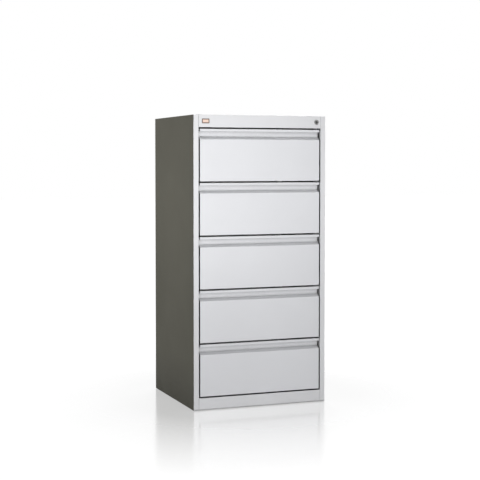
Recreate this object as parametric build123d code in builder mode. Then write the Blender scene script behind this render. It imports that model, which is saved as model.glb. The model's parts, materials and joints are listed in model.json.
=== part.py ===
from build123d import *
import math
import os

# Envelope drawer cabinet in folded sheet steel, in millimetres.
# +Z is up and the drawer fronts face -Y.
# The origin is on the floor, under the middle of the cabinet.

# Overall size
width = 640.0
depth = 585.0
height = 1321.0
drawer_count = 5

# Sheet thicknesses
skin_sheet = 1.0
frame_sheet = 1.2
front_sheet = 1.0
tray_sheet = 1.0
post_sheet = 1.5
slide_sheet = 1.2

# Front frame: two stiles, a top rail and a base rail
stile_width = 24.0
top_rail_height = 56.0
base_rail_height = 54.0
frame_return = 22.0
frame_bend = 1.0

# Casing
floor_gap = 2.0
pan_level = 28.0
pan_flange = 16.0
foot_flange = 30.0
back_flange = 15.0

# Uprights that carry the slides
post_width = 30.0
post_inset = 20.0

# Drawer fronts, each with a finger pull along its whole top
drawer_gap = 6.0
front_return = 20.0
inner_panel_gap = 0.2
front_bend = 2.0
lip_height = 12.0
pull_wall_height = 34.5
pull_height = 47.5

# Drawer trays
tray_back_gap = 37.5
tray_height = 150.0
tray_lift = 14.0
tray_hem = 5.0
rib_width = 6.0
rib_height = 4.0
rib_end_gap = 6.0

# Centre dividers
divider_sheet = 1.2
divider_height = 120.0
divider_foot = 14.0
divider_corner = 12.0

# Follower plates
follower_sheet = 1.2
follower_side_gap = 21.0
follower_height = 120.0
follower_foot = 70.0
follower_lean = 10.0
follower_bend = 3.0
follower_corner = 12.0
follower_play = 0.3
follower_rest_gap = 2.0

# Telescopic slides, in three members
slide_space = 13.0
slide_height = 45.0
slide_play = 0.5
slide_mouth = 3.0
slide_set = 45.0
slide_level = 60.0

# Screws that hold the slides to the uprights
screw_radius = 2.0
screw_head_radius = 3.6
screw_head_height = 2.2
screw_clearance = 0.1

# Lock in the top rail
lock_set = 20.0
lock_proud = 1.5
lock_rim_radius = 11.0
barrel_radius = 9.5
barrel_length = 27.0
plug_radius = 6.0
plug_play = 0.3
plug_sink = 0.4
keyway_width = 2.4
keyway_height = 9.0
keyway_depth = 12.0
hole_clearance = 0.1
nut_radius = 13.0
nut_thickness = 4.0
nut_sides = 6

# Cam on the back of the plug, with the pin that lifts the lock bar
cam_gap = 0.5
cam_thickness = 2.5
cam_radius = 8.0
cam_throw = 9.0
pin_radius = 3.0
pin_end = 3.0
pin_rest_angle = -45.0

# Lock bar behind the right stile
bar_thickness = 3.0
bar_width = 16.0
bar_side_gap = 4.0
bar_front_gap = 4.0
bar_tail = 10.0
arm_thickness = 2.0
arm_gap = 1.5
arm_wall = 6.0
arm_play = 0.6
catch_thickness = 3.0
catch_height = 10.0
catch_slide_gap = 3.5
catch_set = 6.0
catch_tray_gap = 3.0
lug_gap = 1.0
lug_thickness = 4.0
lug_reach = 8.0
guide_height = 20.0
guide_tray_gap = 40.0
guide_play = 0.3
guide_wall = 3.0
guide_lip = 3.0

# Plain badge plate in the top rail
badge_set = 33.0
badge_width = 34.0
badge_height = 19.5
badge_thickness = 1.2
badge_corner = 2.0
badge_rim = 3.4
badge_field = 0.4

# Floor glides
glide_margin = 1.0
glide_hub_radius = 5.0
glide_hub_height = 6.0
glide_hole_clearance = 0.3
glide_set = 25.0

# Planes of the casing
front_plane = -depth / 2 + lock_proud
back_plane = depth / 2
back_inner = back_plane - skin_sheet
side_inner = width / 2 - skin_sheet
frame_rear = front_plane + frame_return
opening_half = width / 2 - stile_width
opening_bottom = floor_gap + base_rail_height
opening_top = height - top_rail_height
pan_top = pan_level + floor_gap + skin_sheet
casing_top = height - pan_flange

# Drawers share the opening evenly
gaps_total = (drawer_count + 1) * drawer_gap
front_height = (opening_top - opening_bottom - gaps_total) / drawer_count
front_half = opening_half - drawer_gap
pull_depth = front_return - front_sheet
tray_front = front_plane + front_return + inner_panel_gap + tray_sheet
tray_rear = back_inner - tray_back_gap
tray_half = opening_half - slide_space
lane_centre = tray_half / 2
slide_front = front_plane + slide_set
slide_length = tray_rear - slide_front
front_post_y = slide_front + post_inset
rear_post_y = tray_rear - post_inset

# Slide members nest inside one another
outer_web = opening_half - slide_sheet
middle_web = outer_web - slide_play - slide_sheet
mouth = tray_half + slide_mouth
outer_half = slide_height / 2
middle_half = outer_half - slide_sheet - slide_play
inner_half = middle_half - slide_sheet - slide_play

# Lock, from the rail backwards
lock_x = opening_half - lock_set
lock_z = height - top_rail_height / 2
rim_front = front_plane - lock_proud
barrel_rear = front_plane + barrel_length
cam_front = barrel_rear + cam_gap
cam_rear = cam_front + cam_thickness
pin_x = lock_x + cam_throw * math.cos(math.radians(pin_rest_angle))
pin_z = lock_z + cam_throw * math.sin(math.radians(pin_rest_angle))
bar_x = opening_half + bar_side_gap
bar_front = frame_rear + bar_front_gap
arm_front = cam_rear + arm_gap
arm_rear = arm_front + arm_thickness
bar_lift = 2 * (lock_z - pin_z)
catch_front = bar_front + catch_set
catch_level = slide_level + slide_height / 2 + catch_slide_gap
lug_front = catch_front + catch_thickness + lug_gap

corner = (Align.MIN, Align.MIN, Align.MIN)
numbers = range(1, drawer_count + 1)
made = []


# A box from its two ends along each axis
def block(x_ends, y_ends, z_ends, mode=Mode.ADD):
    low = [min(ends) for ends in (x_ends, y_ends, z_ends)]
    high = [max(ends) for ends in (x_ends, y_ends, z_ends)]
    sides = [top - bottom for bottom, top in zip(low, high)]
    with Locations(tuple(low)):
        Box(*sides, align=corner, mode=mode)


# Two ends of a span, on the right for side 1 and on the left for side -1
def span(side, near, far):
    return (side * near, side * far)


def keep(piece, name):
    piece.part.label = name
    export_step(piece.part, "parts/" + name + ".step")
    made.append(name)


# The lower edge of a drawer front, where number 1 is the top drawer
def front_bottom(number):
    return opening_bottom + drawer_gap + (drawer_count - number) * (front_height + drawer_gap)


def tray_floor(number):
    return front_bottom(number) + tray_lift


def slide_centre(number):
    return tray_floor(number) + slide_level


def side_panel(side, name):
    with BuildPart() as panel:
        outer = width / 2
        block(span(side, side_inner, outer), (front_plane + frame_sheet, back_plane), (floor_gap, height))
        foot = (floor_gap, floor_gap + skin_sheet)
        block(span(side, side_inner - foot_flange, side_inner), (frame_rear, back_inner), foot)
        with Locations(*glide_spots(side, floor_gap)):
            Cylinder(glide_hub_radius + glide_hole_clearance, glide_hub_height, mode=Mode.SUBTRACT)
    keep(panel, name)


# The glides stand under the folded feet of the side panels
def glide_spots(side, level):
    x = side * (side_inner - foot_flange / 2)
    return [(x, frame_rear + glide_set, level), (x, back_inner - glide_set, level)]


def glide_feet():
    with BuildPart() as glides:
        centred = (Align.CENTER, Align.CENTER, Align.MIN)
        with Locations(*glide_spots(-1, 0), *glide_spots(1, 0)):
            Cylinder(foot_flange / 2 - glide_margin, floor_gap, align=centred)
            Cylinder(glide_hub_radius, floor_gap + glide_hub_height, align=centred)
    keep(glides, "glide_feet")


def back_panel():
    with BuildPart() as panel:
        block((-side_inner, side_inner), (back_inner, back_plane), (floor_gap, height))
        for side in (-1, 1):
            flange = span(side, side_inner - skin_sheet, side_inner)
            block(flange, (back_inner - back_flange, back_inner), (pan_top, casing_top))
    keep(panel, "back_panel")


# A flat pan with its edges folded down, where the top one leaves its front edge flat
def pan(name, top, folded_front):
    under = top - skin_sheet
    flange = (top - pan_flange, under)
    with BuildPart() as sheet:
        block((-side_inner, side_inner), (frame_rear, back_inner), (under, top))
        block((-side_inner, side_inner), (back_inner - skin_sheet, back_inner), flange)
        if folded_front:
            block((-side_inner, side_inner), (frame_rear, frame_rear + skin_sheet), flange)
        for side in (-1, 1):
            edge = span(side, side_inner - skin_sheet, side_inner)
            block(edge, (frame_rear, back_inner), flange)
    keep(sheet, name)


def front_stile(side, name):
    with BuildPart() as stile:
        face_rear = front_plane + frame_sheet
        face = span(side, opening_half, width / 2)
        block(face, (front_plane, face_rear), (floor_gap, height))
        for near in (opening_half, side_inner - frame_sheet):
            block(span(side, near, near + frame_sheet), (face_rear, frame_rear), (floor_gap, height))
        cap = span(side, opening_half, side_inner)
        block(cap, (face_rear, frame_rear), (height - frame_sheet, height))
        upright_edges = stile.edges().filter_by(Axis.Z).group_by(Axis.Y)[0]
        fillet(upright_edges, radius=frame_bend)
    keep(stile, name)


# A channel with its face to the front, between the two stiles
def rail_channel(bottom, top):
    face_rear = front_plane + frame_sheet
    across = (-opening_half, opening_half)
    block(across, (front_plane, face_rear), (bottom, top))
    block(across, (face_rear, frame_rear), (bottom, bottom + frame_sheet))
    block(across, (face_rear, frame_rear), (top - frame_sheet, top))


def top_rail():
    with BuildPart() as rail:
        rail_channel(opening_top, height)
        front_edges = rail.edges().group_by(Axis.Y)[0]
        fillet(front_edges, radius=frame_bend)
        with BuildSketch(Plane.XZ.offset(-front_plane)):
            with Locations((lock_x, lock_z)):
                Circle(barrel_radius + hole_clearance)
        extrude(amount=-frame_sheet, mode=Mode.SUBTRACT)
    keep(rail, "top_rail")


def base_rail():
    with BuildPart() as rail:
        rail_channel(floor_gap, opening_bottom)
        front_edges = rail.edges().group_by(Axis.Y)[0]
        fillet(front_edges, radius=frame_bend)
    keep(rail, "base_rail")


# A channel that stands open to its side panel, with a screw hole at each slide
def upright(side, y, name):
    with BuildPart() as post:
        upwards = (pan_top, casing_top)
        across = (y - post_width / 2, y + post_width / 2)
        block(span(side, opening_half, opening_half + post_sheet), across, upwards)
        for edge in (y - post_width / 2, y + post_width / 2 - post_sheet):
            block(span(side, opening_half + post_sheet, side_inner), (edge, edge + post_sheet), upwards)
        drill_screw_holes(side, [y])
    keep(post, name)


# Holes through the web of an upright and the slide beside it
def drill_screw_holes(side, stations):
    spots = [(side * opening_half, y, slide_centre(number)) for y in stations for number in numbers]
    with Locations(*[Location(spot, (0, 90, 0)) for spot in spots]):
        Cylinder(screw_radius + screw_clearance, 2 * (post_sheet + slide_sheet), mode=Mode.SUBTRACT)


# One slide member: a web, and two flanges that reach from it to the far edge
def member(side, web, far, half, start, centre):
    along = (start, start + slide_length)
    block(span(side, web, web + slide_sheet), along, (centre - half, centre + half))
    near = web + slide_sheet if far > web else web
    for low in (centre - half, centre + half - slide_sheet):
        block(span(side, near, far), along, (low, low + slide_sheet))


def slide_outers(side, name):
    with BuildPart() as members:
        for number in numbers:
            member(side, outer_web, mouth, outer_half, slide_front, slide_centre(number))
        drill_screw_holes(side, [front_post_y, rear_post_y])
    keep(members, name)


def slide_middle(number):
    with BuildPart() as members:
        for side in (-1, 1):
            member(side, middle_web, mouth, middle_half, slide_front, slide_centre(number))
    keep(members, f"slide_middle_{number}")


def slide_inner(number):
    with BuildPart() as members:
        for side in (-1, 1):
            far = middle_web - slide_play
            member(side, tray_half, far, inner_half, slide_front, slide_centre(number))
    keep(members, f"slide_inner_{number}")


# Each screw has its head inside the upright and ends flush inside the slide
def slide_screws():
    with BuildPart() as screws:
        for side in (-1, 1):
            shank_end = Plane(origin=(side * outer_web, 0, 0), x_dir=(0, side, 0), z_dir=(side, 0, 0))
            head_seat = shank_end.offset(slide_sheet + post_sheet)
            posts = (side * front_post_y, side * rear_post_y)
            stations = [(y, slide_centre(number)) for y in posts for number in numbers]
            with BuildSketch(shank_end):
                with Locations(*stations):
                    Circle(screw_radius)
            extrude(amount=slide_sheet + post_sheet)
            with BuildSketch(head_seat):
                with Locations(*stations):
                    Circle(screw_head_radius)
            extrude(amount=screw_head_height)
    keep(screws, "slide_screws")


# One sheet folded from the lip, round the finger pull and down the face, and the panel that closes it
def drawer_front(number):
    bottom = front_bottom(number)
    top = bottom + front_height
    pull_back = front_plane + pull_depth
    slope_bottom = top - pull_height
    lip_rear = front_plane + front_sheet
    with BuildPart() as front:
        with BuildSketch(Plane.YZ):
            with BuildLine():
                FilletPolyline(
                    (lip_rear, top - lip_height),
                    (lip_rear, top - front_sheet),
                    (pull_back, top - front_sheet),
                    (pull_back, top - pull_wall_height),
                    (front_plane, slope_bottom),
                    (front_plane, bottom),
                    (front_plane + front_return, bottom),
                    radius=front_bend,
                )
                offset(amount=front_sheet, side=Side.RIGHT)
            make_face()
        extrude(amount=front_half, both=True)
        for side in (-1, 1):
            end = span(side, front_half - front_sheet, front_half)
            return_ends = (lip_rear, front_plane + front_return)
            block(end, return_ends, (bottom + front_sheet, slope_bottom - front_sheet))
        block((-front_half, front_half), (tray_front - tray_sheet, tray_front), (bottom, top))
    keep(front, f"drawer_front_{number}")


# Floor, sides and back, which stand against the panel of the drawer front
def drawer_tray(number):
    floor = tray_floor(number)
    floor_top = floor + tray_sheet
    rim = floor + tray_height
    across = (-tray_half, tray_half)
    with BuildPart() as tray:
        block(across, (tray_front, tray_rear), (floor, floor_top))
        block(across, (tray_rear - tray_sheet, tray_rear), (floor_top, rim))
        for side in (-1, 1):
            wall = span(side, tray_half - tray_sheet, tray_half)
            block(wall, (tray_front, tray_rear), (floor_top, rim))
            hem = span(side, tray_half, tray_half + tray_hem)
            block(hem, (tray_front, tray_rear), (rim - tray_sheet, rim))
            rib = span(side, lane_centre - rib_width / 2, lane_centre + rib_width / 2)
            rib_ends = (tray_front + rib_end_gap, tray_rear - tray_sheet - rib_end_gap)
            block(rib, rib_ends, (floor_top, floor_top + rib_height))
        lug = (tray_half, tray_half + lug_reach)
        lug_low = floor + catch_level + bar_lift
        block(lug, (lug_front, lug_front + lug_thickness), (lug_low, lug_low + catch_height))
    keep(tray, f"drawer_tray_{number}")


def drawer_divider(number):
    floor = tray_floor(number) + tray_sheet
    half = divider_sheet / 2
    along = (tray_front, tray_rear - tray_sheet)
    with BuildPart() as divider:
        block((-half, half), along, (floor, floor + divider_height))
        top_corners = divider.edges().filter_by(Axis.X).group_by(Axis.Z)[-1]
        fillet(top_corners, radius=divider_corner)
        block((half, half + divider_foot), along, (floor, floor + divider_sheet))
    keep(divider, f"drawer_divider_{number}")


# A bent plate that leans back and straddles the rib of its lane
def follower(number, side, name):
    floor = tray_floor(number) + tray_sheet
    foot_level = floor + follower_play
    foot_rear = tray_rear - tray_sheet - follower_rest_gap
    foot_front = foot_rear - follower_foot
    lean = follower_height * math.tan(math.radians(follower_lean))
    notch = rib_width / 2 + follower_play
    x = side * lane_centre
    half = lane_centre - divider_sheet / 2 - follower_side_gap
    with BuildPart() as plate:
        with BuildSketch(Plane.YZ.offset(x)):
            with BuildLine():
                FilletPolyline(
                    (foot_front + lean, foot_level + follower_height),
                    (foot_front, foot_level),
                    (foot_rear, foot_level),
                    radius=follower_bend,
                )
                offset(amount=follower_sheet, side=Side.LEFT)
            make_face()
        extrude(amount=half, both=True)
        across_sheet = plate.edges().filter_by(lambda edge: edge.length < follower_sheet + follower_play)
        fillet(across_sheet.group_by(Axis.Z)[-1], radius=follower_corner)
        notch_top = floor + rib_height + follower_play
        notch_ends = (foot_front - follower_sheet, foot_rear)
        block((x - notch, x + notch), notch_ends, (floor, notch_top), Mode.SUBTRACT)
    keep(plate, name)


# The barrel sits in the top rail with its rim on the face
def lock_housing():
    with BuildPart() as housing:
        with BuildSketch(Plane.XZ.offset(-rim_front)):
            with Locations((lock_x, lock_z)):
                Circle(lock_rim_radius)
        extrude(amount=-lock_proud)
        rim_edge = housing.edges().group_by(Axis.Y)[0]
        fillet(rim_edge, radius=lock_proud / 2)
        with BuildSketch(Plane.XZ.offset(-front_plane)):
            with Locations((lock_x, lock_z)):
                Circle(barrel_radius)
        extrude(amount=-barrel_length)
        with BuildSketch(Plane.XZ.offset(-rim_front)):
            with Locations((lock_x, lock_z)):
                Circle(plug_radius + plug_play)
        extrude(amount=-(lock_proud + barrel_length), mode=Mode.SUBTRACT)
    keep(housing, "lock_housing")


def lock_nut():
    with BuildPart() as nut:
        with BuildSketch(Plane.XZ.offset(-(front_plane + frame_sheet))):
            with Locations((lock_x, lock_z)):
                RegularPolygon(nut_radius, nut_sides)
                Circle(barrel_radius + hole_clearance, mode=Mode.SUBTRACT)
        extrude(amount=-nut_thickness)
    keep(nut, "lock_nut")


def lock_plug():
    with BuildPart() as plug:
        face = rim_front + plug_sink
        with BuildSketch(Plane.XZ.offset(-face)):
            with Locations((lock_x, lock_z)):
                Circle(plug_radius)
        extrude(amount=-(cam_front - face))
        keyway = (lock_x - keyway_width / 2, lock_x + keyway_width / 2)
        tall = (lock_z - keyway_height / 2, lock_z + keyway_height / 2)
        block(keyway, (face, face + keyway_depth), tall, Mode.SUBTRACT)
    keep(plug, "lock_plug")


def lock_cam():
    with BuildPart() as cam:
        with BuildSketch(Plane.XZ.offset(-cam_front)):
            with Locations((lock_x, lock_z)):
                Circle(cam_radius)
            with Locations((pin_x, pin_z)):
                Circle(pin_radius + hole_clearance)
            with BuildSketch(mode=Mode.PRIVATE) as ends:
                with Locations((lock_x, lock_z), (pin_x, pin_z)):
                    Circle(pin_radius + hole_clearance)
            make_hull(ends.sketch.edges())
        extrude(amount=-cam_thickness)
        with BuildSketch(Plane.XZ.offset(-cam_rear)):
            with Locations((pin_x, pin_z)):
                Circle(pin_radius)
        extrude(amount=-(arm_gap + arm_thickness + pin_end))
    keep(cam, "lock_cam")


# A strip with an arm at its top, which the cam pin lifts
def lock_bar():
    with BuildPart() as bar:
        strip = (bar_x, bar_x + bar_thickness)
        lowest = tray_floor(drawer_count) + catch_level - bar_tail
        room = pin_radius + arm_play
        arm_top = pin_z + room + arm_wall
        block(strip, (bar_front, bar_front + bar_width), (lowest, arm_top))
        arm_ends = (pin_x - room - arm_wall, bar_x)
        block(arm_ends, (arm_front, arm_rear), (pin_z - room - arm_wall, arm_top))
        slot = (pin_x - room, lock_x + cam_throw + room)
        block(slot, (arm_front, arm_rear), (pin_z - room, pin_z + room), Mode.SUBTRACT)
    keep(bar, "lock_bar")


# One catch on the lock bar for every drawer
def lock_bar_catches():
    with BuildPart() as catches:
        for number in numbers:
            low = tray_floor(number) + catch_level
            reach = (tray_half + catch_tray_gap, bar_x)
            block(reach, (catch_front, catch_front + catch_thickness), (low, low + catch_height))
    keep(catches, "lock_bar_catches")


# Clips on the right side panel that the lock bar slides in
def lock_bar_guides():
    guided = (1, (1 + drawer_count) // 2, drawer_count)
    with BuildPart() as guides:
        for number in guided:
            low = tray_floor(number) + tray_height + guide_tray_gap
            tall = (low, low + guide_height)
            clip_front = bar_front - guide_wall
            clip_rear = bar_front + bar_width + guide_wall
            slot_inner = bar_x - guide_play
            block((bar_x - guide_wall, side_inner), (clip_front, clip_rear), tall)
            slot = (bar_front - guide_play, bar_front + bar_width + guide_play)
            block((slot_inner, bar_x + bar_thickness + guide_play), slot, tall, Mode.SUBTRACT)
            opening = (bar_front + guide_lip, bar_front + bar_width - guide_lip)
            block((bar_x - guide_wall, slot_inner), opening, tall, Mode.SUBTRACT)
    keep(guides, "lock_bar_guides")


# A bare plate with a raised rim
def badge_plate():
    badge_x = -opening_half + badge_set
    with BuildPart() as badge:
        with BuildSketch(Plane.XZ.offset(-front_plane)):
            with Locations((badge_x, lock_z)):
                RectangleRounded(badge_width, badge_height, badge_corner)
        extrude(amount=badge_thickness)
        with BuildSketch(Plane.XZ.offset(-front_plane + badge_thickness)):
            with Locations((badge_x, lock_z)):
                Rectangle(badge_width - 2 * badge_rim, badge_height - 2 * badge_rim)
        extrude(amount=-badge_field, mode=Mode.SUBTRACT)
    keep(badge, "badge_plate")


def casing():
    side_panel(-1, "side_panel_left")
    side_panel(1, "side_panel_right")
    back_panel()
    pan("top_panel", height, False)
    pan("bottom_pan", pan_top, True)
    front_stile(-1, "front_stile_left")
    front_stile(1, "front_stile_right")
    top_rail()
    base_rail()
    upright(-1, front_post_y, "upright_front_left")
    upright(-1, rear_post_y, "upright_rear_left")
    upright(1, front_post_y, "upright_front_right")
    upright(1, rear_post_y, "upright_rear_right")
    slide_outers(-1, "slide_outers_left")
    slide_outers(1, "slide_outers_right")
    slide_screws()
    glide_feet()
    badge_plate()


def lock():
    lock_housing()
    lock_nut()
    lock_plug()
    lock_cam()
    lock_bar()
    lock_bar_catches()
    lock_bar_guides()


def drawer(number):
    drawer_front(number)
    drawer_tray(number)
    drawer_divider(number)
    slide_inner(number)
    slide_middle(number)
    follower(number, -1, f"follower_left_{number}")
    follower(number, 1, f"follower_right_{number}")


os.makedirs("parts", exist_ok=True)
casing()
lock()
for drawer_number in numbers:
    drawer(drawer_number)
print(len(made), "pieces")
print("drawer front", front_height, "by", 2 * front_half)
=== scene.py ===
import json
import math

import bpy
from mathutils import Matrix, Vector


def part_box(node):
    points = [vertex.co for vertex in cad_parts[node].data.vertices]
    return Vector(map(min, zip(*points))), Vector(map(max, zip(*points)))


# Envelope drawer cabinet: paint, plated steel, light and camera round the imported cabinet.
# Lengths are in metres, the floor is at 0, and the drawer fronts face -Y.
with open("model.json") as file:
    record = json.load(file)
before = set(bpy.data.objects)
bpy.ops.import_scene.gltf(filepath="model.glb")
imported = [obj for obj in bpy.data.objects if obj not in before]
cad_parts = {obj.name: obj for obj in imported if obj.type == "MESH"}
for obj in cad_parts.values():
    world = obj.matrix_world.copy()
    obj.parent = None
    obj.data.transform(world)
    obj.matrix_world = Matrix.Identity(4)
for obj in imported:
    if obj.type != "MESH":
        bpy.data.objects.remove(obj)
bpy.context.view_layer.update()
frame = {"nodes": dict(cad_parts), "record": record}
nodes = frame["nodes"]
scene = bpy.context.scene
print("cabinet loaded,", len(nodes), "pieces")


# Helpers that the finishes share

colourMix = {"amount": 0, "first": 6, "second": 7, "result": 2}  # sockets of a Mix node
numberMix = {"amount": 0, "first": 2, "second": 3, "result": 0}
masks = {"samples": 6, "foldStart": 0.995, "foldFull": 0.8, "lineCore": 0.5}


def blankFinish(look):
    finish = bpy.data.materials.new(look["name"])
    finish.use_nodes = True
    tree = finish.node_tree
    shader = tree.nodes["Principled BSDF"]
    shader.inputs["Metallic"].default_value = look["metal"]
    shader.inputs["Specular IOR Level"].default_value = look["shine"]
    finish.diffuse_color = (*look["colour"], 1)
    return finish, tree, shader


def wireUp(tree, shader, colour, gloss, normal):
    tree.links.new(colour, shader.inputs["Base Color"])
    tree.links.new(gloss, shader.inputs["Roughness"])
    tree.links.new(normal, shader.inputs["Normal"])


def addNode(tree, kind, inputs=None, **settings):
    node = tree.nodes.new(kind)
    for key, value in settings.items():
        setattr(node, key, value)
    for key, value in (inputs or {}).items():
        if isinstance(value, bpy.types.NodeSocket):
            tree.links.new(value, node.inputs[key])
        else:
            node.inputs[key].default_value = value
    return node


def placeOn(tree):
    return addNode(tree, "ShaderNodeTexCoord").outputs["Object"]


def axesOf(tree, place):
    return addNode(tree, "ShaderNodeSeparateXYZ", {"Vector": place}).outputs


def calc(tree, operation, first, second=0.0):
    return addNode(tree, "ShaderNodeMath", {0: first, 1: second}, operation=operation).outputs[0]


def times(tree, first, second):
    return calc(tree, "MULTIPLY", first, second)


def either(tree, first, second):
    return calc(tree, "MAXIMUM", first, second)


def rangeOf(tree, value, fromLow, fromHigh, toLow=0, toHigh=1):
    spread = addNode(tree, "ShaderNodeMapRange", {
        "Value": value, "From Min": fromLow, "From Max": fromHigh,
        "To Min": toLow, "To Max": toHigh})
    return spread.outputs["Result"]


def blendNumbers(tree, amount, first, second):
    inputs = {numberMix["amount"]: amount, numberMix["first"]: first, numberMix["second"]: second}
    return addNode(tree, "ShaderNodeMix", inputs).outputs[numberMix["result"]]


def solid(colour):
    # a written colour gets its alpha, and one that comes from a node stays as it is
    return colour if isinstance(colour, bpy.types.NodeSocket) else (*colour, 1)


def blendColours(tree, amount, first, second):
    inputs = {
        colourMix["amount"]: amount, colourMix["first"]: solid(first),
        colourMix["second"]: solid(second)}
    return addNode(tree, "ShaderNodeMix", inputs, data_type="RGBA").outputs[colourMix["result"]]


def shade(colour, amount):
    return tuple(part * amount for part in colour)


def toned(tree, mask, colour, base, tone):
    # the colour so far, and where the mask is 1 a lighter or darker tone of the base colour
    return blendColours(tree, mask, colour, shade(base, tone))


def cloud(tree, place, scale, detail, rough=0.55):
    noise = addNode(tree, "ShaderNodeTexNoise", {
        "Vector": place, "Scale": scale, "Detail": detail, "Roughness": rough})
    return noise.outputs["Fac"]


def stretched(tree, place, scale):
    return addNode(tree, "ShaderNodeMapping", {"Vector": place, "Scale": scale}).outputs["Vector"]


def patches(tree, place, look, least=0, most=1):
    # least where a noise is under its range and most where it is over, with a soft step between.
    # A noise is written as its scale, its detail and its roughness, and a stretch makes it
    # finer along the axes with the larger numbers.
    if "stretch" in look:
        place = stretched(tree, place, look["stretch"])
    return rangeOf(tree, cloud(tree, place, *look["noise"]), *look["range"], least, most)


def softEdges(tree, radius):
    # the rounded normal, and a mask that is 1 on the folds and cut edges
    bevel = addNode(tree, "ShaderNodeBevel", {"Radius": radius}, samples=masks["samples"])
    rounded = bevel.outputs["Normal"]
    flat = addNode(tree, "ShaderNodeNewGeometry").outputs["Normal"]
    facing = addNode(tree, "ShaderNodeVectorMath", {0: rounded, 1: flat}, operation="DOT_PRODUCT")
    return rounded, rangeOf(tree, facing.outputs["Value"], masks["foldStart"], masks["foldFull"])


def crevice(tree, look):
    # the look's amount deep in a gap or an inside corner, and 0 on an open face
    reach = {"Distance": look["reach"]}
    near = addNode(tree, "ShaderNodeAmbientOcclusion", reach, samples=masks["samples"])
    deep = rangeOf(tree, near.outputs["AO"], look["start"], look["full"])
    return times(tree, deep, look["amount"])


def fineLine(tree, value, at, half):
    # 1 on a thin line where value is at, which shows a butt joint between two sheets
    off = calc(tree, "ABSOLUTE", calc(tree, "SUBTRACT", value, at))
    return rangeOf(tree, off, half, half * masks["lineCore"])


def raised(tree, height, depth, normal):
    bump = addNode(tree, "ShaderNodeBump", {
        "Height": height, "Distance": depth, "Strength": 1.0, "Normal": normal})
    return bump.outputs["Normal"]


# Powder coat on folded sheet. What the five coats share comes first, then each coat.

coat = {
    "cloudDetail": 4.0, "cloudRange": (0.35, 0.65), "waveDetail": 1.0, "peelDetail": 2.0,
    "specks": {"noise": (240.0, 2.0), "range": (0.62, 0.76)}, "speckTone": 0.72,
    "foldWearAndHighlight": {"noise": (38.0, 3.0), "range": (0.35, 0.60)}, "leastWearAndHighlight": 0.7,
    "scratches": {"noise": (26.0, 5.0, 0.65), "range": (0.60, 0.72), "stretch": (7.0, 7.0, 1.1)},
    "scratchDull": 0.06, "blotches": {"noise": (7.5, 5.0), "range": (0.32, 0.68)},
}
plainCoat = {
    "metal": 0.0, "floorScuff": 0.0, "floorShade": 0.0,
    "welds": False, "pulls": False, "rails": False,
}
# the casing's dark warm grey is partly its own paint and partly painted shade of its sides
casingPaint = {
    **plainCoat, "name": "casing_powder_coat", "colour": (0.128, 0.124, 0.098), "shine": 0.20,
    "rough": (0.71, 0.76), "cloudScale": 2.2, "cloudDepth": 0.03, "speckle": 0.30,
    "peelScale": 480.0, "peelDepth": 0.00012, "waveScale": 3.4, "waveDepth": 0.0004,
    "edge": 0.0028, "edgeTone": 1.75, "floorScuff": 0.10, "scuffDepth": 0.5, "floorShade": 0.22,
    "welds": True,
}
framePaint = {
    **plainCoat, "name": "frame_powder_coat", "colour": (0.660, 0.663, 0.680), "shine": 0.70,
    "rough": (0.39, 0.46), "cloudScale": 3.0, "cloudDepth": 0.02, "speckle": 0.10,
    "peelScale": 700.0, "peelDepth": 0.00003, "waveScale": 4.0, "waveDepth": 0.0006,
    "edge": 0.0030, "edgeTone": 1.30, "floorScuff": 0.05, "scuffDepth": 0.15, "rails": True,
}
frontPaint = {
    **plainCoat, "name": "drawer_front_powder_coat", "colour": (0.662, 0.668, 0.692), "shine": 0.70,
    "rough": (0.39, 0.46), "cloudScale": 2.6, "cloudDepth": 0.02, "speckle": 0.10,
    "peelScale": 700.0, "peelDepth": 0.00003, "waveScale": 3.2, "waveDepth": 0.0012,
    "edge": 0.0030, "edgeTone": 1.32, "pulls": True,
}
trayPaint = {
    **plainCoat, "name": "tray_powder_coat", "colour": (0.660, 0.662, 0.672), "shine": 0.45,
    "rough": (0.34, 0.44), "cloudScale": 4.0, "cloudDepth": 0.04, "speckle": 0.12,
    "peelScale": 700.0, "peelDepth": 0.00003, "waveScale": 5.0, "waveDepth": 0.0008,
    "edge": 0.0010, "edgeTone": 1.12,
}
followerPaint = {
    **plainCoat, "name": "follower_powder_coat", "colour": (0.400, 0.404, 0.415), "shine": 0.42,
    "rough": (0.38, 0.50), "cloudScale": 5.0, "cloudDepth": 0.05, "speckle": 0.14,
    "peelScale": 650.0, "peelDepth": 0.00004, "waveScale": 6.0, "waveDepth": 0.0005,
    "edge": 0.0012, "edgeTone": 1.3,
}

# the gaps and inside corners are painted darker than the light alone leaves them
gapShade = {"reach": 0.010, "start": 0.95, "full": 0.55, "amount": 0.97, "tone": 0.03}
floorMarks = {
    "scuffs": {"noise": (34.0, 6.0, 0.7), "range": (0.50, 0.62), "stretch": (1.0, 1.0, 3.5)},
    "scuffTone": 0.7, "scuffDull": 0.2, "shadeTone": 0.62,
}


def floorScuffs(tree, place, axes, look, colour, gloss):
    # level streaks low on the sheet, from shoes and brooms
    low = rangeOf(tree, axes["Z"], look["floorScuff"], 0.0)
    marks = patches(tree, place, floorMarks["scuffs"], 0, look["scuffDepth"])
    scuffs = times(tree, low, marks)
    colour = toned(tree, scuffs, colour, look["colour"], floorMarks["scuffTone"])
    return colour, calc(tree, "ADD", gloss, times(tree, scuffs, floorMarks["scuffDull"]))


def floorShade(tree, axes, look, colour):
    # painted shade, darker towards the floor
    # the paint grows darker towards the floor, as the photograph shows it
    low = rangeOf(tree, axes["Z"], look["floorShade"], 0.0)
    return toned(tree, low, colour, look["colour"], floorMarks["shadeTone"])


railSeams = {
    "at": 0.296, "half": 0.0005, "tone": 0.16,
    "baseTop": 0.056, "topBottom": 1.265, "soft": 0.001,
}


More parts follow.
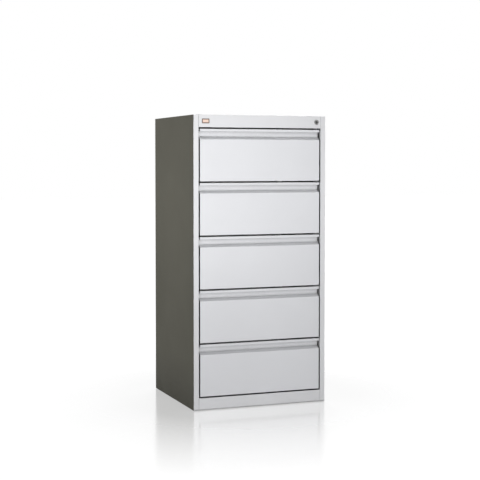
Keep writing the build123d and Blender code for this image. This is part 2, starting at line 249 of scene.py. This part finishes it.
def railJoints(tree, axes, look, colour):
    # dark lines at the joints between the rails and the stiles, partly dirt in the seams and partly
    # painted shade of the joints
    baseTop, topBottom = railSeams["baseTop"], railSeams["topBottom"]
    low = rangeOf(tree, axes["Z"], baseTop, baseTop - railSeams["soft"])
    high = rangeOf(tree, axes["Z"], topBottom, topBottom + railSeams["soft"])
    fromMiddle = calc(tree, "ABSOLUTE", axes["X"])
    seam = fineLine(tree, fromMiddle, railSeams["at"], railSeams["half"])
    seam = times(tree, seam, either(tree, low, high))
    return toned(tree, seam, colour, look["colour"], railSeams["tone"])


casingSeams = {
    "side": 0.319, "rear": 0.2915, "front": -0.269, "half": 0.0005, "tone": 0.35,
    "topFace": (1.3203, 1.3207), "rearFace": (0.2920, 0.2923),
}


def casingJoints(tree, axes, look, colour):
    # the joints between the casing's sheets, on its top and its back
    onTop = rangeOf(tree, axes["Z"], *casingSeams["topFace"])
    onRear = rangeOf(tree, axes["Y"], *casingSeams["rearFace"])
    fromMiddle = calc(tree, "ABSOLUTE", axes["X"])
    seam = fineLine(tree, fromMiddle, casingSeams["side"], casingSeams["half"])
    seam = times(tree, seam, either(tree, onTop, onRear))
    ends = either(tree, fineLine(tree, axes["Y"], casingSeams["rear"], casingSeams["half"]),
                  fineLine(tree, axes["Y"], casingSeams["front"], casingSeams["half"]))
    seam = either(tree, seam, times(tree, ends, onTop))
    return toned(tree, seam, colour, look["colour"], casingSeams["tone"])


spotWelds = {
    "pitch": 0.12, "radius": 0.0048, "bowl": 0.55, "depth": 0.0010, "tone": 0.80,
    "sideRows": (0.00075, 0.27975), "backRows": (0.0, 0.308), "backFace": (0.2910, 0.2914),
}


def spotWeldRows(tree, across, up, mid, half):
    # two upright rows of small dimples, half a width to each side of mid
    across = calc(tree, "SUBTRACT", across, mid)
    across = calc(tree, "SUBTRACT", calc(tree, "ABSOLUTE", across), half)
    turn = calc(tree, "FRACT", calc(tree, "DIVIDE", up, spotWelds["pitch"]))
    up = times(tree, calc(tree, "SUBTRACT", turn, 0.5), spotWelds["pitch"])
    far = calc(tree, "ADD", calc(tree, "POWER", across, 2.0), calc(tree, "POWER", up, 2.0))
    far = calc(tree, "SQRT", far)
    return rangeOf(tree, far, spotWelds["radius"], spotWelds["radius"] * spotWelds["bowl"])


def weldMarks(tree, axes, look, colour, normal):
    # two rows of spot welds on each side of the casing and two on its back
    sides = spotWeldRows(tree, axes["Y"], axes["Z"], *spotWelds["sideRows"])
    backs = spotWeldRows(tree, axes["X"], axes["Z"], *spotWelds["backRows"])
    onBack = rangeOf(tree, axes["Y"], *spotWelds["backFace"])
    welds = blendNumbers(tree, onBack, sides, backs)
    colour = toned(tree, welds, colour, look["colour"], spotWelds["tone"])
    sunk = calc(tree, "SUBTRACT", 1.0, welds)
    return colour, raised(tree, sunk, spotWelds["depth"], normal)


lipShade = {"reach": 0.045, "start": 0.65, "full": 0.49, "amount": 0.52, "tone": 0.28}
pullWear = {
    "lowest": 0.062, "pitch": 0.2406, "pull": (0.77, 0.84), "fromMiddle": (0.24, 0.05),
    "prints": {"noise": (55.0, 4.0), "range": (0.42, 0.62)},
    "polish": 0.10, "stain": 0.05, "stainTone": 0.8,
}


def pullMarks(tree, place, axes, look, colour, gloss):
    # the recess is painted darker right under the lip, where the photograph shows it in shade
    colour = toned(tree, crevice(tree, lipShade), colour, look["colour"], lipShade["tone"])

    # fingers polish the pulls, most in the middle of each drawer
    above = calc(tree, "SUBTRACT", axes["Z"], pullWear["lowest"])
    step = calc(tree, "DIVIDE", above, pullWear["pitch"])
    pull = rangeOf(tree, calc(tree, "FRACT", step), *pullWear["pull"])
    middle = rangeOf(tree, calc(tree, "ABSOLUTE", axes["X"]), *pullWear["fromMiddle"])
    touched = times(tree, pull, middle)
    touched = times(tree, touched, patches(tree, place, pullWear["prints"]))
    gloss = calc(tree, "SUBTRACT", gloss, times(tree, touched, pullWear["polish"]))
    stain = times(tree, touched, pullWear["stain"])
    return toned(tree, stain, colour, look["colour"], pullWear["stainTone"]), gloss


def powderCoat(look):
    finish, tree, shader = blankFinish(look)
    place = placeOn(tree)
    axes = axesOf(tree, place)
    rounded, edge = softEdges(tree, look["edge"])

    # colour: slow clouds and specks, brighter on the folds where the coat thins and a painted
    # highlight is added, and painted shade in the gaps
    clouds = cloud(tree, place, look["cloudScale"], coat["cloudDetail"])
    clouds = rangeOf(tree, clouds, *coat["cloudRange"])
    dark, light = (shade(look["colour"], 1 + side * look["cloudDepth"]) for side in (-1, 1))
    colour = blendColours(tree, clouds, dark, light)
    specks = patches(tree, place, coat["specks"], 0, look["speckle"])
    colour = toned(tree, specks, colour, look["colour"], coat["speckTone"])
    lighterEdges = times(tree, edge, patches(tree, place, coat["foldWearAndHighlight"], coat["leastWearAndHighlight"], 1))
    colour = toned(tree, lighterEdges, colour, look["colour"], look["edgeTone"])
    colour = toned(tree, crevice(tree, gapShade), colour, look["colour"], gapShade["tone"])

    # gloss: fine upright scratches, and blotches of handling
    scratches = patches(tree, place, coat["scratches"], 0, coat["scratchDull"])
    gloss = patches(tree, place, coat["blotches"], *look["rough"])
    gloss = calc(tree, "ADD", gloss, scratches)

    if look["floorScuff"]:
        colour, gloss = floorScuffs(tree, place, axes, look, colour, gloss)
    if look["floorShade"]:
        colour = floorShade(tree, axes, look, colour)
    if look["rails"]:
        colour = railJoints(tree, axes, look, colour)
    if look["welds"]:
        colour = casingJoints(tree, axes, look, colour)
    if look["pulls"]:
        colour, gloss = pullMarks(tree, place, axes, look, colour, gloss)

    # the sheet is never quite flat, and the coat has a fine orange peel
    waves = cloud(tree, place, look["waveScale"], coat["waveDetail"])
    normal = raised(tree, waves, look["waveDepth"], rounded)
    if look["welds"]:
        colour, normal = weldMarks(tree, axes, look, colour, normal)
    peel = cloud(tree, place, look["peelScale"], coat["peelDetail"])
    normal = raised(tree, peel, look["peelDepth"], normal)
    wireUp(tree, shader, colour, gloss, normal)
    return finish


# Plated metal: zinc on the uprights, slides, screws and lock works, and nickel on the lock's
# barrel and plug

plating = {
    "darkCrystal": 0.88, "crystalGloss": (-0.03, 0.03),
    "rolling": (12.0, 6.0, 0.7), "rollingRange": (0.3, 0.7),
    "tarnish": {"noise": (9.0, 4.0), "range": (0.45, 0.70)}, "mostTarnish": 0.5,
}
zincSteel = {
    "name": "zinc_plated_steel", "colour": (0.500, 0.505, 0.515), "metal": 1.0, "shine": 0.5,
    "rough": (0.34, 0.50), "spangle": 120.0, "drawn": (60.0, 2.0, 60.0),
    "edge": 0.0008, "edgeTone": 1.25, "grainDepth": 0.00004, "warm": (0.500, 0.484, 0.436),
}
screwSteel = {
    "name": "screw_steel", "colour": (0.560, 0.560, 0.570), "metal": 1.0, "shine": 0.5,
    "rough": (0.24, 0.36), "spangle": 420.0, "drawn": (200.0, 200.0, 200.0),
    "edge": 0.0004, "edgeTone": 1.3, "grainDepth": 0.00002, "warm": (0.560, 0.530, 0.460),
}
# painted shade and reflection: the lock's barrel and plug are much darker than nickel, and the plug
# is nearly black
lockNickel = {
    "name": "lock_nickel", "colour": (0.260, 0.260, 0.256), "metal": 1.0, "shine": 0.5,
    "rough": (0.20, 0.34), "spangle": 300.0, "drawn": (420.0, 420.0, 420.0),
    "edge": 0.0005, "edgeTone": 2.0, "grainDepth": 0.000012, "warm": (0.260, 0.248, 0.226),
}
plugNickel = {
    "name": "plug_nickel", "colour": (0.055, 0.055, 0.054), "metal": 1.0, "shine": 0.5,
    "rough": (0.26, 0.40), "spangle": 300.0, "drawn": (420.0, 420.0, 420.0),
    "edge": 0.0004, "edgeTone": 2.6, "grainDepth": 0.000012, "warm": (0.055, 0.052, 0.048),
}


def platedSteel(look):
    finish, tree, shader = blankFinish(look)
    place = placeOn(tree)
    rounded, edge = softEdges(tree, look["edge"])

    # crystals of the plating, then marks of rolling, which run from front to back on the zinc
    crystals = addNode(tree, "ShaderNodeTexVoronoi", {"Vector": place, "Scale": look["spangle"]})
    crystals = addNode(tree, "ShaderNodeSeparateColor", {"Color": crystals.outputs["Color"]})
    crystal = crystals.outputs["Red"]
    grain = cloud(tree, stretched(tree, place, look["drawn"]), *plating["rolling"])
    dark = shade(look["colour"], plating["darkCrystal"])
    colour = blendColours(tree, crystal, dark, look["colour"])
    tarnish = patches(tree, place, plating["tarnish"], 0, plating["mostTarnish"])
    colour = blendColours(tree, tarnish, colour, look["warm"])
    colour = toned(tree, edge, colour, look["colour"], look["edgeTone"])
    gloss = rangeOf(tree, grain, *plating["rollingRange"], *look["rough"])
    gloss = calc(tree, "ADD", gloss, rangeOf(tree, crystal, 0, 1, *plating["crystalGloss"]))
    wireUp(tree, shader, colour, gloss, raised(tree, grain, look["grainDepth"], rounded))
    return finish


# Moulded plastic of the floor glides and the clips of the lock bar

moulding = {
    "tones": (0.86, 1.08), "toneSpread": {"noise": (60.0, 3.0), "range": (0.35, 0.65)},
    "sheen": {"noise": (110.0, 4.0), "range": (0.3, 0.7)}, "grainDetail": 2.0,
}
blackPlastic = {
    "name": "glide_plastic", "colour": (0.022, 0.022, 0.024), "metal": 0.0, "shine": 0.4,
    "rough": (0.42, 0.58), "edge": 0.0008, "edgeTone": 2.2, "grain": 900.0, "grainDepth": 0.00004,
}
whitePlastic = {
    "name": "clip_plastic", "colour": (0.720, 0.715, 0.690), "metal": 0.0, "shine": 0.45,
    "rough": (0.34, 0.44), "edge": 0.0008, "edgeTone": 1.08, "grain": 700.0, "grainDepth": 0.00002,
}


def mouldedPlastic(look):
    finish, tree, shader = blankFinish(look)
    place = placeOn(tree)
    rounded, edge = softEdges(tree, look["edge"])
    dark, light = (shade(look["colour"], tone) for tone in moulding["tones"])
    colour = blendColours(tree, patches(tree, place, moulding["toneSpread"]), dark, light)
    colour = toned(tree, edge, colour, look["colour"], look["edgeTone"])
    gloss = patches(tree, place, moulding["sheen"], *look["rough"])
    grain = cloud(tree, place, look["grain"], moulding["grainDetail"])
    wireUp(tree, shader, colour, gloss, raised(tree, grain, look["grainDepth"], rounded))
    return finish


# Bare badge plate: a copper-brown rim round a plain peach enamel field

badge = {
    "name": "badge_enamel", "colour": (0.800, 0.590, 0.475), "metal": 0.0, "shine": 0.5,
    "rough": (0.24, 0.34), "enamelTones": (0.93, 1.05),
    "pools": {"noise": (130.0, 3.0), "range": (0.35, 0.65)},
    "rimColour": (0.150, 0.088, 0.062), "rim": 0.0036, "rimSoft": 0.0003, "rimTones": (0.75, 1.3),
    "brushing": {"noise": (4.0, 4.0), "range": (0.3, 0.7), "stretch": (40.0, 40.0, 900.0)},
    "edge": 0.0005, "edgeWear": 0.4, "edgeTone": 1.9,
    "sheen": {"noise": (220.0, 4.0), "range": (0.3, 0.7)},
    "grain": (420.0, 2.0), "grainDepth": 0.00002,
}


def badgeEnamel(look):
    finish, tree, shader = blankFinish(look)
    place = placeOn(tree)
    axes = axesOf(tree, place)
    low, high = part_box("badge_plate")
    inside = []
    for axis, start, end in (("X", low.x, high.x), ("Z", low.z, high.z)):
        fromMiddle = calc(tree, "ABSOLUTE", calc(tree, "SUBTRACT", axes[axis], (start + end) / 2))
        half = (end - start) / 2 - look["rim"]
        inside.append(rangeOf(tree, fromMiddle, half, half - look["rimSoft"]))
    field = times(tree, *inside)
    dark, light = (shade(look["colour"], tone) for tone in look["enamelTones"])
    enamel = blendColours(tree, patches(tree, place, look["pools"]), dark, light)
    dark, light = (shade(look["rimColour"], tone) for tone in look["rimTones"])
    copper = blendColours(tree, patches(tree, place, look["brushing"]), dark, light)
    rounded, edge = softEdges(tree, look["edge"])
    colour = blendColours(tree, field, copper, enamel)
    lighterEdges = times(tree, edge, look["edgeWear"])
    colour = toned(tree, lighterEdges, colour, look["rimColour"], look["edgeTone"])
    gloss = patches(tree, place, look["sheen"], *look["rough"])
    grain = cloud(tree, place, *look["grain"])
    wireUp(tree, shader, colour, gloss, raised(tree, grain, look["grainDepth"], rounded))
    return finish


finishes = {
    "casing_paint": powderCoat(casingPaint),
    "frame_paint": powderCoat(framePaint),
    "front_paint": powderCoat(frontPaint),
    "tray_paint": powderCoat(trayPaint),
    "follower_paint": powderCoat(followerPaint),
    "zinc_steel": platedSteel(zincSteel),
    "screw_steel": platedSteel(screwSteel),
    "lock_metal": platedSteel(lockNickel),
    "badge_enamel": badgeEnamel(badge),
    "black_plastic": mouldedPlastic(blackPlastic),
    "white_plastic": mouldedPlastic(whitePlastic),
}
ownFinish = {"lock_plug": platedSteel(plugNickel)}  # darker than the rim round it
for part in frame["record"]["subparts"]:
    piece = nodes[part["node"]]
    if not piece.material_slots:
        piece.data.materials.append(None)
    for slot in piece.material_slots:
        slot.material = ownFinish.get(part["node"], finishes[part["material_slot"]])
print("finishes on,", len(finishes) + len(ownFinish))


def seenOrMirrored(tree):
    # 1 for the rays that show a surface: to the camera, in a mirror or through glass
    rays = addNode(tree, "ShaderNodeLightPath").outputs
    shown = either(tree, rays["Is Camera Ray"], rays["Is Glossy Ray"])
    return either(tree, shown, rays["Is Transmission Ray"])


# White floor with a polished patch round the cabinet, where its reflection fades out.
# The glow is how white the floor shows, and the bounce how much light it gives back to the cabinet.

floorLook = {
    "half": 30.0, "paint": (0.80, 0.80, 0.80), "bounce": 0.22, "paleTone": 1.1,
    "tones": {"noise": (1.6, 3.0), "range": (0.3, 0.7)},
    "glow": 0.99, "fullGlow": 1.0, "glowEnd": 4.0,
    "mirror": 0.50, "mirrorRough": 0.15, "patchStart": 0.55, "patchEnd": 1.60,
}


def makeFloor(look):
    half = look["half"]
    mesh = bpy.data.meshes.new("floor")
    corners = [(-half, -half, 0), (half, -half, 0), (half, half, 0), (-half, half, 0)]
    mesh.from_pydata(corners, [], [(0, 1, 2, 3)])
    floor = bpy.data.objects.new("floor", mesh)
    scene.collection.objects.link(floor)

    finish = bpy.data.materials.new("floor_white")
    finish.use_nodes = True
    tree = finish.node_tree
    tree.nodes.clear()
    place = placeOn(tree)
    far = addNode(tree, "ShaderNodeVectorMath", {0: place}, operation="LENGTH").outputs["Value"]
    shown = seenOrMirrored(tree)
    glow = rangeOf(tree, far, look["patchEnd"], look["glowEnd"], look["glow"], look["fullGlow"])
    lit = times(tree, glow, shown)
    tones = patches(tree, place, look["tones"])
    paint = shade(look["paint"], look["bounce"])
    paint = blendColours(tree, tones, paint, shade(paint, look["paleTone"]))
    matt = addNode(tree, "ShaderNodeBsdfDiffuse", {"Color": paint}).outputs[0]
    bright = addNode(tree, "ShaderNodeEmission", {"Strength": lit}).outputs[0]
    white = addNode(tree, "ShaderNodeAddShader", {0: matt, 1: bright}).outputs[0]
    mirror = addNode(tree, "ShaderNodeBsdfGlossy", {"Roughness": look["mirrorRough"]}).outputs[0]
    polish = rangeOf(tree, far, look["patchStart"], look["patchEnd"], look["mirror"], 0.0)
    mixed = addNode(tree, "ShaderNodeMixShader", {0: polish, 1: white, 2: mirror}).outputs[0]
    addNode(tree, "ShaderNodeOutputMaterial", {"Surface": mixed})
    mesh.materials.append(finish)


makeFloor(floorLook)

# The world is white where it is seen or mirrored, and gives a low fill, weaker from overhead

worldLook = {"white": (1, 1, 1, 1), "shown": 1.0, "level": 0.42, "overhead": 0.12}
world = bpy.data.worlds.new("studio")
world.use_nodes = True
scene.world = world
sky = world.node_tree
sky.nodes.clear()
shown = seenOrMirrored(sky)
aim = axesOf(sky, addNode(sky, "ShaderNodeTexCoord").outputs["Generated"])
fill = rangeOf(sky, aim["Z"], 0, 1, worldLook["level"], worldLook["overhead"])
level = blendNumbers(sky, shown, fill, worldLook["shown"])
backdrop = addNode(sky, "ShaderNodeBackground", {"Color": worldLook["white"], "Strength": level})
addNode(sky, "ShaderNodeOutputWorld", {"Surface": backdrop.outputs[0]})

# Lamps: a soft box straight ahead at drawer height, one beside the casing, one over the back,
# and one high over the place where a drawer stands open

lamps = {
    "frontBox": {"place": (-0.02, -4.30, 1.05), "aim": (-0.15, -0.29, 1.12),
                 "wide": 1.0, "tall": 1.0, "power": 12.3, "spread": 54},
    "sideBox": {"place": (-1.60, 0.10, 1.15), "aim": (-0.32, 0.0, 1.0),
                "wide": 0.7, "tall": 0.9, "power": 3.2, "spread": 110},
    "backBox": {"place": (0.90, 1.90, 2.50), "aim": (0.1, 0.29, 0.90),
                "wide": 1.2, "tall": 1.2, "power": 38.0, "spread": 160},
    "topBox": {"place": (0.0, -0.42, 3.05), "aim": (0.0, -0.46, 1.0),
               "wide": 0.5, "tall": 0.25, "power": 4.5, "spread": 120},
}


def softBox(name, look):
    light = bpy.data.lights.new(name, "AREA")
    light.shape = "RECTANGLE"
    light.size = look["wide"]
    light.size_y = look["tall"]
    light.energy = look["power"]
    light.spread = math.radians(look["spread"])
    lamp = bpy.data.objects.new(name, light)
    scene.collection.objects.link(lamp)
    lamp.location = look["place"]
    lamp.visible_camera = False
    facing = Vector(look["aim"]) - Vector(look["place"])
    lamp.rotation_euler = facing.to_track_quat("-Z", "Y").to_euler()


for name, look in lamps.items():
    softBox(name, look)
scene.view_settings.view_transform = "Standard"
print("floor, world and lamps set")

# Camera at the photograph's angle: tilt is down from level, and turn is to the right of +Y

view = {
    "place": (-2.002, -5.280, 1.107), "tilt": 2.268, "turn": 20.868,
    "lens": 89.17, "sensor": 36.0, "shift": -0.0625,
}
lens = bpy.data.cameras.new("camera")
lens.lens = view["lens"]
lens.sensor_width = view["sensor"]
lens.shift_y = view["shift"]
camera = bpy.data.objects.new("camera", lens)
scene.collection.objects.link(camera)
camera.location = view["place"]
camera.rotation_euler = (math.radians(90 - view["tilt"]), 0, math.radians(-view["turn"]))
scene.camera = camera
print("camera set")
